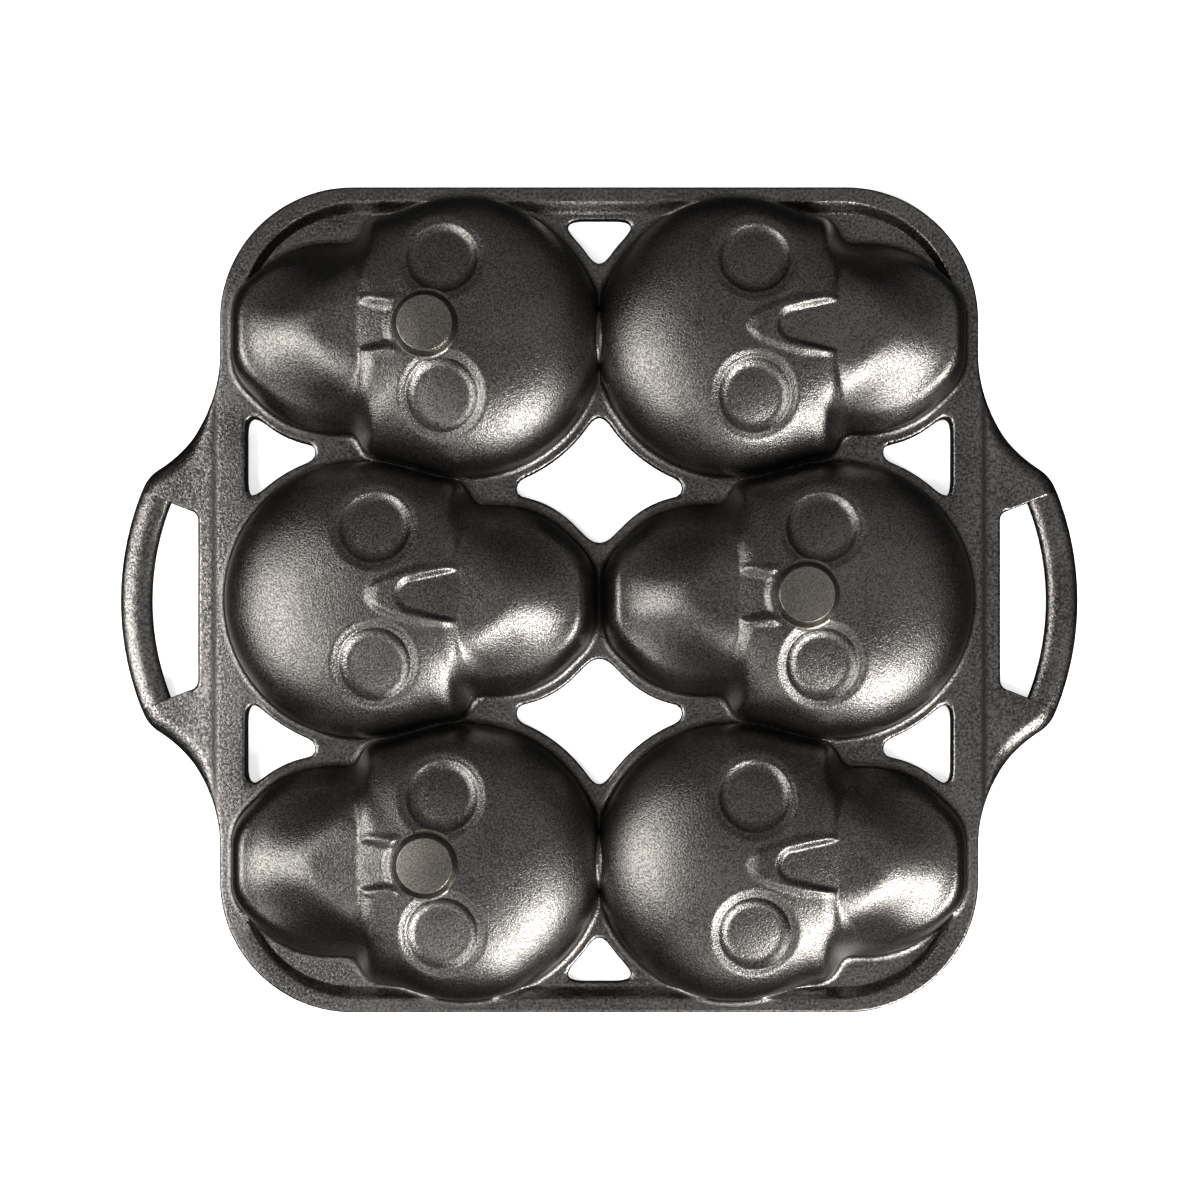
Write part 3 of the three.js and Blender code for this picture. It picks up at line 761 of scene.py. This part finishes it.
def padMesh(x, y):
    p = footPad
    brim = p["radius"] + p["draft"]
    level = skullPlan["top"] - p["sink"]
    edge, foot = p["edge"], p["foot"]
    profile = [(0, p["top"])]
    for turn in np.linspace(0, math.pi / 2, p["edgeRows"]):
        r, z = p["radius"] - edge, p["top"] - edge
        profile.append((r + edge * math.sin(turn), z + edge * math.cos(turn)))
    for turn in np.linspace(0, math.pi / 2, p["footRows"]):
        profile.append((brim + foot - foot * math.cos(turn), level + foot - foot * math.sin(turn)))
    profile += [(brim + foot, p["seat"]), (0, p["seat"])]
    turns = np.arange(p["columns"]) * 2 * np.pi / p["columns"]
    vertices = [(x, y, profile[0][1])]
    for r, z in profile[1:-1]:
        vertices += [(x + r * math.cos(t), y + r * math.sin(t), z) for t in turns]
    vertices.append((x, y, profile[-1][1]))
    n, rings, last = p["columns"], len(profile) - 2, len(vertices) - 1
    faces = []
    for j in range(n):
        k = (j + 1) % n
        faces.append((0, 1 + j, 1 + k))
        for here in range(1, 1 + (rings - 1) * n, n):
            faces.append((here + j, here + n + j, here + n + k, here + k))
        faces.append((last, last - n + k, last - n + j))
    mesh = bpy.data.meshes.new("footPad")
    mesh.from_pydata((np.array(vertices) * mm).tolist(), [], faces)
    mesh.materials.append(padMaterial)
    smoothMesh(mesh, p["sharpAngle"])
    return mesh


for skull in skulls:
    if skull["padded"]:
        mesh = padMesh(skull["x"] + skull["facing"] * skullPlan["middle"], skull["y"])
        addPiece(f"footPad.{skull['name']}", mesh, f"foot_pad_{skull['name']}")
print("foot pads made")


def arc(x, y, radius, start, end, pitch):
    count = max(2, math.ceil(abs(end - start) * radius / pitch)) + 1
    turns = np.linspace(start, end, count)
    return np.stack([x + radius * np.cos(turns), y + radius * np.sin(turns)], axis=1)


def line(a, b, pitch):
    count = max(1, math.ceil(math.dist(a, b) / pitch)) + 1
    return np.linspace(a, b, count)


def chain(*runs):  # joins runs of points, leaving out the doubled ends
    points = [runs[0]]
    for run in runs[1:]:
        points.append(run[1:] if np.allclose(points[-1][-1], run[0], atol=1e-6) else run)
    return np.concatenate(points)


def roundedBox(halfWidth, halfLength, corner, pitch):
    runs = []
    for quarter, (sx, sy) in enumerate(((1, 1), (-1, 1), (-1, -1), (1, -1))):
        x, y = sx * (halfWidth - corner), sy * (halfLength - corner)
        runs.append(arc(x, y, corner, quarter * math.pi / 2, (quarter + 1) * math.pi / 2, pitch))
    spans = [line(runs[i][-1], runs[(i + 1) % 4][0], pitch) for i in range(4)]
    return chain(*(run for pair in zip(runs, spans) for run in pair))[:-1]


def earHalf(pitch):  # upper half of the right ear's edge, from the frame to the middle of the gap
    p = handlePlan
    flareX = panPlan["halfWidth"] + p["flareRadius"]
    fromFlare, fromBow = p["flareRadius"] + p["earCorner"], bowOuter - p["earCorner"]
    toBow = Vector((bowX - flareX, -p["flareStartY"]))
    apart = toBow.length
    along = (fromFlare ** 2 - fromBow ** 2 + apart ** 2) / (2 * apart)
    aside = math.sqrt(fromFlare ** 2 - along ** 2)
    toBow.normalize()
    x = flareX + toBow.x * along - toBow.y * aside
    y = p["flareStartY"] + toBow.y * along + toBow.x * aside
    flareTurn = math.atan2(p["flareStartY"] - y, flareX - x)
    bowTurn = math.atan2(y, x - bowX)
    end = p["gripHalfAngle"]
    flare = arc(flareX, p["flareStartY"], p["flareRadius"], math.pi, math.pi + flareTurn, pitch)
    corner = arc(x, y, p["earCorner"], flareTurn, bowTurn, pitch)
    bow = arc(bowX, 0, bowOuter, bowTurn, end, pitch)
    gapX = panPlan["halfWidth"] + p["earStrip"] + p["gapCorner"]
    gapY = ((gapX - bowX) * math.sin(end) - p["gapCorner"]) / math.cos(end)
    gap = arc(gapX, gapY, p["gapCorner"], end + math.pi / 2, math.pi, pitch / 2)
    step = line(bow[-1], gap[0], pitch)
    inner = line(gap[-1], (gap[-1][0], 0), pitch)
    runs = (("ear", flare), ("ear", corner), ("ear", bow), ("step", step), ("gap", gap), ("gap", inner))
    points = chain(*(run for _, run in runs))
    kinds = np.concatenate([[kind] * (len(run) - 1) for kind, run in runs])
    return points, kinds


def outerLoop(pitch):  # edge of frame and ears, with the kind of the span after each point
    half, kinds = earHalf(pitch)
    flip = np.array([1, -1])
    rightEar = np.concatenate([half * flip, half[::-1][1:]])
    rightKinds = np.concatenate([kinds, kinds[::-1]])
    p = panPlan
    x, y, corner = p["halfWidth"] - p["corner"], p["halfLength"] - p["corner"], p["corner"]
    up = line(half[0], (p["halfWidth"], y), pitch)
    turn = arc(x, y, corner, 0, math.pi / 2, pitch)
    top = line((x, p["halfLength"]), (-x, p["halfLength"]), pitch)
    turnBack = arc(-x, y, corner, math.pi / 2, math.pi, pitch)
    down = line((-p["halfWidth"], y), half[0] * np.array([-1, 1]), pitch)
    rail = chain(up, turn, top, turnBack, down)
    points = [rightEar[:-1], rail[:-1], -rightEar[:-1], -rail[:-1]]
    names = [rightKinds, ["rail"] * (len(rail) - 1), rightKinds, ["rail"] * (len(rail) - 1)]
    return np.concatenate(points), np.concatenate(names)


def windowDepth(x, y):  # how far a point lies inside a window
    p = panPlan
    windowHalfLength = pocketFloor[1] - p["endLand"]
    depth = softMin(p["pocketHalfWidth"] - np.abs(x), windowHalfLength - np.abs(y), p["windowRounding"])
    for skull in skulls:
        depth = softMin(depth, skullDistance(skull, x, y) - p["landWidth"], p["windowRounding"])
    across = np.abs(x)
    blunt = np.where(across < p["cornerX"], p["diamondHalfWidth"] - across, across - p["sideWindowX"])
    depth = softMin(depth, blunt, p["tipRounding"])
    inCorner = (np.abs(x) > p["cornerX"]) & (np.abs(y) > p["rowY"])
    return np.where(inCorner, -p["landWidth"], depth)  # the corners have no window


def windowLoop(x, y, count, offset):
    turns = np.arange(count) * 2 * np.pi / count
    c, s = np.cos(turns), np.sin(turns)
    r = crossing(lambda r: -offset - windowDepth(x + r * c, y + r * s), count, panPlan["windowReach"])
    return np.stack([x + r * c, y + r * s], axis=1)


frameMesh = {
    "pitch": 1.6,
    "seamPitch": 3,
    "edgeTurns": np.radians([18, 34, 50, 66, 80, 90]),
    "edgeMargin": 0.4,
    "edgeGap": 0.02,
    "footMargin": 0.15,
    "footSlack": 0.04,
    "footRays": 300,
    "creaseShares": (-1, -0.75, -0.5, -0.25, 0, 0.25, 0.5, 0.75, 1, 2),
    "creaseEnd": 96,
    "slopeShares": (-0.15, 0, 0.06, 0.12, 0.3, 0.5, 0.7, 0.88, 0.94, 1.15),
    "diamondRays": 150,
    "smallRays": 80,
    "diamondY": 0.45,  # share of the row spacing
    "sideWindowY": 0.555,
    "batch": 2000,
    "sharpAngle": 45,
}


def edgeSteps(radius):  # how far in from an edge the points of its rounding lie
    turns = frameMesh["edgeTurns"]
    return [radius * (1 - math.cos(turn)) for turn in turns] + [radius + frameMesh["edgeMargin"]]


def batches(count):
    size = frameMesh["batch"]
    return [slice(first, first + size) for first in range(0, count, size)]


def insideLoop(loop, points):
    a, b = loop, np.roll(loop, -1, axis=0)
    inside = np.zeros(len(points), bool)
    for batch in batches(len(points)):
        x, y = points[batch, :1], points[batch, 1:]
        spans = (a[:, 1] > y) != (b[:, 1] > y)
        slope = (b[:, 0] - a[:, 0]) / np.where(b[:, 1] == a[:, 1], 1, b[:, 1] - a[:, 1])
        left = x < a[:, 0] + (y - a[:, 1]) * slope
        inside[batch] = (spans & left).sum(1) % 2 == 1
    return inside


def loopDistance(loop, points, spans=slice(None)):  # distance to the nearest span and its number
    a, d = loop[spans], (np.roll(loop, -1, axis=0) - loop)[spans]
    length = (d * d).sum(1)
    nearest, which = np.zeros(len(points)), np.zeros(len(points), int)
    for batch in batches(len(points)):
        p = points[batch, None] - a
        t = np.clip((p * d).sum(2) / length, 0, 1)
        gap = np.linalg.norm(p - t[..., None] * d, axis=2)
        which[batch] = gap.argmin(1)
        nearest[batch] = gap.min(1)
    return nearest, which


def edgeRadii(kinds, loop):  # the rail's edge swells into the broad edge of the ears
    h = handlePlan
    beyond = np.abs(loop[:, 0]) - panPlan["halfWidth"]
    swell = smoothStep(beyond, h["swellFrom"], h["swellTo"])
    ear = panPlan["railEdge"] + (h["outerEdge"] - panPlan["railEdge"]) * swell
    radii = np.where(kinds == "ear", ear, panPlan["railEdge"])
    return np.where(kinds == "gap", h["gapEdge"], np.where(kinds == "step", h["stepEdge"], radii))


def framePlan():
    pitch = frameMesh["pitch"]
    outer, kinds = outerLoop(pitch)
    radii = edgeRadii(kinds, outer)
    points, edges, loose = [], [], []

    def addLoop(loop, keep=None):
        first = sum(map(len, points))
        points.append(loop)
        for i in range(len(loop)):
            j = (i + 1) % len(loop)
            if keep is None or keep[i] and keep[j]:
                edges.append((first + i, first + j))

    addLoop(outer)
    tangent = np.roll(outer, -1, axis=0) - np.roll(outer, 1, axis=0)
    inward = np.stack([-tangent[:, 1], tangent[:, 0]], axis=1)
    inward /= np.linalg.norm(inward, axis=1)[:, None]
    loose += [outer + inward * step[:, None] for step in edgeSteps(radii)]
    p, f = panPlan, frameMesh
    centres = []
    for sy in (1, -1):
        centres.append((0, sy * p["rowY"] * f["diamondY"], f["diamondRays"]))
        centres.append((0, sy * (pocketFloor[1] - p["endLand"] - p["windowRounding"]), f["smallRays"]))
        for sx in (1, -1):
            sideX = sx * (p["pocketHalfWidth"] - p["windowRounding"])
            centres.append((sideX, sy * p["rowY"] * f["sideWindowY"], f["smallRays"]))
    for x, y, count in centres:
        addLoop(windowLoop(x, y, count, 0))
        loose += [windowLoop(x, y, count, step) for step in edgeSteps(p["windowEdge"])]
    turns = np.arange(f["footRays"]) * 2 * np.pi / f["footRays"]
    c, s = np.cos(turns), np.sin(turns)
    middle, fillet = skullPlan["middle"], skullPlan["footFillet"]
    r = crossing(lambda r: footDistance(middle + r * c, r * s) - fillet, f["footRays"], cupMesh["rayReach"])
    u, v = middle + r * c, r * s
    for skull in skulls:
        x, y = skull["x"] + skull["facing"] * u, skull["y"] + skull["facing"] * v
        addLoop(np.stack([x, y], axis=1), nearestSkull(x, y) > fillet - 1e-3)
    addLoop(roundedBox(*pocketFloor, pitch))
    for share in f["slopeShares"]:
        sizes = [top + (low - top) * share for top, low in zip(pocketMouth, pocketFloor)]
        loose.append(roundedBox(*sizes, pitch))
    for sx in (1, -1):
        first = sum(map(len, points))
        x, end = sx * p["halfWidth"], handlePlan["flareStartY"]
        seam = line((x, -end), (x, end), f["seamPitch"])
        points.append(seam)
        edges.extend((first + i, first + i + 1) for i in range(len(seam) - 1))
        for share in f["creaseShares"]:
            x, end = sx * (handlePlan["creaseX"] + handlePlan["creaseHalf"] * share), f["creaseEnd"]
            loose.append(line((x, -end), (x, end), f["seamPitch"]))
    free = np.concatenate(loose)
    gap, _ = loopDistance(outer, free)
    fits = insideLoop(outer, free) & (gap > f["edgeGap"])
    fits &= windowDepth(free[:, 0], free[:, 1]) < -f["edgeGap"]
    fits &= nearestSkull(free[:, 0], free[:, 1]) > fillet + f["footMargin"]
    allPoints = np.concatenate([*points, free[fits]])
    made = geometry.delaunay_2d_cdt([Vector(q) for q in allPoints.tolist()], edges, [], 0, 1e-4)
    plan = np.array([tuple(q) for q in made[0]])
    triangles = np.array(made[2])
    return outer, kinds, radii, plan, triangles


def sortTriangles(outer, plan, triangles):
    middle = plan[triangles].mean(1)
    x, y = middle[:, 0], middle[:, 1]
    kept = insideLoop(outer, middle)
    kept &= windowDepth(x, y) < -1e-4
    kept &= nearestSkull(x, y) > skullPlan["footFillet"] - frameMesh["footSlack"]
    inPocket = boxDistance(x, y, *pocketFloor) < 0
    onEar = np.abs(x) > panPlan["halfWidth"]
    upper, lower = y > panPlan["rowY"], y < -panPlan["rowY"]
    sides = np.abs(x) > panPlan["cornerX"]
    right = x > 0
    parts = {
        "border_rail": ~inPocket & ~onEar,
        "handle_ear_right": onEar & right,
        "handle_ear_left": onEar & ~right,
        "web_middle": inPocket & ~upper & ~lower,
        "web_upper": inPocket & upper & ~sides,
        "web_lower": inPocket & lower & ~sides,
        "web_corner_upper_right": inPocket & upper & sides & right,
        "web_corner_upper_left": inPocket & upper & sides & ~right,
        "web_corner_lower_right": inPocket & lower & sides & right,
        "web_corner_lower_left": inPocket & lower & sides & ~right,
    }
    return {name: triangles[kept & mask] for name, mask in parts.items()}


def slab(plan, top, under, triangles):  # closed solid between two heights over the triangles
    used, index = np.unique(triangles, return_inverse=True)
    faces = index.reshape(-1, 3)
    first, second, third = (plan[triangles[:, i]] for i in range(3))
    a, b = second - first, third - first
    turned = a[:, 0] * b[:, 1] - a[:, 1] * b[:, 0] < 0
    faces[turned] = faces[turned][:, ::-1]
    count = len(used)
    upper = np.column_stack([plan[used], top[used]])
    lower = np.column_stack([plan[used], under[used]])
    sides = {}
    for i, j in np.concatenate([faces[:, [0, 1]], faces[:, [1, 2]], faces[:, [2, 0]]]).tolist():
        if (j, i) in sides:
            del sides[j, i]
        else:
            sides[i, j] = True
    walls = [(i, i + count, j + count, j) for i, j in sides]
    below = (faces[:, ::-1] + count).tolist()
    mesh = bpy.data.meshes.new("slab")
    mesh.from_pydata((np.vstack([upper, lower]) * mm).tolist(), [], faces.tolist() + below + walls)
    return mesh


outer, kinds, radii, plan, triangles = framePlan()
edgeGap, _ = loopDistance(outer, plan)
windowGap = np.maximum(-windowDepth(plan[:, 0], plan[:, 1]), 0)
rounded = quarterRound(windowGap, panPlan["windowEdge"])
for inner in (True, False):  # edges beside the grip's gap, then the outer edge
    spans = np.flatnonzero(np.isin(kinds, ("gap", "step")) == inner)
    gap, span = loopDistance(outer, plan, spans)
    width = radii[spans][span]
    drop = quarterRound(gap, width) if inner else broadRound(gap, width)
    rounded = np.maximum(rounded, drop)
topHeight = baseHeight(plan[:, 0], plan[:, 1]) - rounded
underHeight = quarterRound(np.minimum(edgeGap, windowGap), panPlan["underEdge"])
for node, members in sortTriangles(outer, plan, triangles).items():
    mesh = slab(plan, topHeight, underHeight, members)
    mesh.materials.append(frameMaterial)
    smoothMesh(mesh, frameMesh["sharpAngle"])
    first, *rest = node.split("_")
    addPiece(first + "".join(word.capitalize() for word in rest), mesh, node)
print("frame made:", len(plan), "plan points")


def gripTree():
    p = handlePlan
    tree, size = newTree("bowedGrip", {
        "Bow radius": p["gripRadius"] * mm,
        "Half angle": p["gripHalfAngle"],
        "Width": p["gripWidth"] * mm,
        "Thickness": p["gripThickness"] * mm,
        "Material": None,
    })
    start = Wire(tree)
    bow = start.node("GeometryNodeCurveArc", {"mode": "RADIUS"}, {
        "Resolution": p["bowRows"],
        "Radius": size["Bow radius"],
        "Start Angle": 0 - size["Half angle"],
        "Sweep Angle": size["Half angle"] * 2,
    })
    ring = start.node("GeometryNodeCurvePrimitiveCircle", {"mode": "RADIUS"}, {
        "Resolution": p["sectionColumns"],
        "Radius": size["Thickness"] / 2,
    })
    flattening = size["Width"] / size["Thickness"]
    stretch = start.node("ShaderNodeCombineXYZ", None, {0: flattening, 1: 1, 2: 1})
    section = start.node("GeometryNodeTransform", None, {"Geometry": ring, "Scale": stretch})
    shape = start.node("GeometryNodeCurveToMesh", None, {
        "Curve": bow, "Profile Curve": section, "Fill Caps": True,
    })
    closeTree(start, shape, size["Material"])
    return tree


grip = gripTree()
for side, turn in (("Right", 0), ("Left", math.pi)):
    mesh = grow(grip, bpy.data.meshes.new("gripStart"), {"Material": frameMaterial})
    lift = Matrix.Translation((bowX * mm, 0, handlePlan["gripThickness"] / 2 * mm))
    mesh.transform(Matrix.Rotation(turn, 4, "Z") @ lift)
    smoothMesh(mesh, handlePlan["sharpAngle"])
    addPiece(f"handleGrip{side}", mesh, f"handle_grip_{side.lower()}")
print("grips grown")

studio = {
    "floorTone": (0.86, 0.86, 0.86, 1),
    "floorRoughness": 0.9,
    "glowTone": (1, 1, 1, 1),
    "floorGlow": 0.6,
    "floorHalf": 12.0,
    "floorDrop": 0.0005,
    "worldTone": (1, 1, 1, 1),
    "worldStrength": 0.02,
    "cameraPlace": (0.010, -0.060, 0.900),
    "lens": 66.9,
    "shift": (-0.0201, 0.125),
}
softboxes = {  # place, width and height in metres, watts; each looks at the middle of the pan
    "left": ((-0.74, -0.1, 0.68), (0.72, 0.66), 18),
    "lowerRight": ((0.66, -0.8, 0.66), (0.6, 0.42), 38),
    "front": ((-0.05, -1.05, 0.8), (1.0, 0.5), 6),
    "right": ((1.0, 0.05, 0.9), (1.0, 0.8), 1.5),
    "back": ((0.1, 1.0, 0.75), (2.4, 1.3), 3.5),
    "overhead": ((0.15, -0.1, 1.7), (2.4, 1.5), 7),
}


def buildStudio():
    half = studio["floorHalf"]
    mesh = bpy.data.meshes.new("floor")
    corners = [(-half, -half), (half, -half), (half, half), (-half, half)]
    mesh.from_pydata([(x, y, -studio["floorDrop"]) for x, y in corners], [], [(0, 1, 2, 3)])
    floor = bpy.data.objects.new("floor", mesh)
    bpy.context.scene.collection.objects.link(floor)
    material = bpy.data.materials.new("paleFloor")
    material.use_nodes = True
    shader = material.node_tree.nodes["Principled BSDF"]
    shader.inputs["Base Color"].default_value = studio["floorTone"]
    shader.inputs["Roughness"].default_value = studio["floorRoughness"]
    shader.inputs["Emission Color"].default_value = studio["glowTone"]
    shader.inputs["Emission Strength"].default_value = studio["floorGlow"]
    mesh.materials.append(material)
    floor.visible_glossy = False  # the iron mirrors the dim room, not the floor
    world = bpy.data.worlds.new("studio")
    world.use_nodes = True
    room = world.node_tree.nodes["Background"]
    room.inputs["Color"].default_value = studio["worldTone"]
    room.inputs["Strength"].default_value = studio["worldStrength"]
    bpy.context.scene.world = world
    for name, (place, (width, height), watts) in softboxes.items():
        light = bpy.data.lights.new(name, "AREA")
        light.shape = "RECTANGLE"
        light.size, light.size_y, light.energy = width, height, watts
        lamp = bpy.data.objects.new(name, light)
        lamp.location = place
        lamp.rotation_euler = (-Vector(place)).to_track_quat("-Z", "Y").to_euler()
        bpy.context.scene.collection.objects.link(lamp)
    camera = bpy.data.objects.new("camera", bpy.data.cameras.new("camera"))
    camera.location = studio["cameraPlace"]
    camera.data.lens = studio["lens"]
    camera.data.shift_x, camera.data.shift_y = studio["shift"]
    bpy.context.scene.collection.objects.link(camera)
    bpy.context.scene.camera = camera
    bpy.context.scene.view_settings.view_transform = "Standard"


buildStudio()
print("studio set")
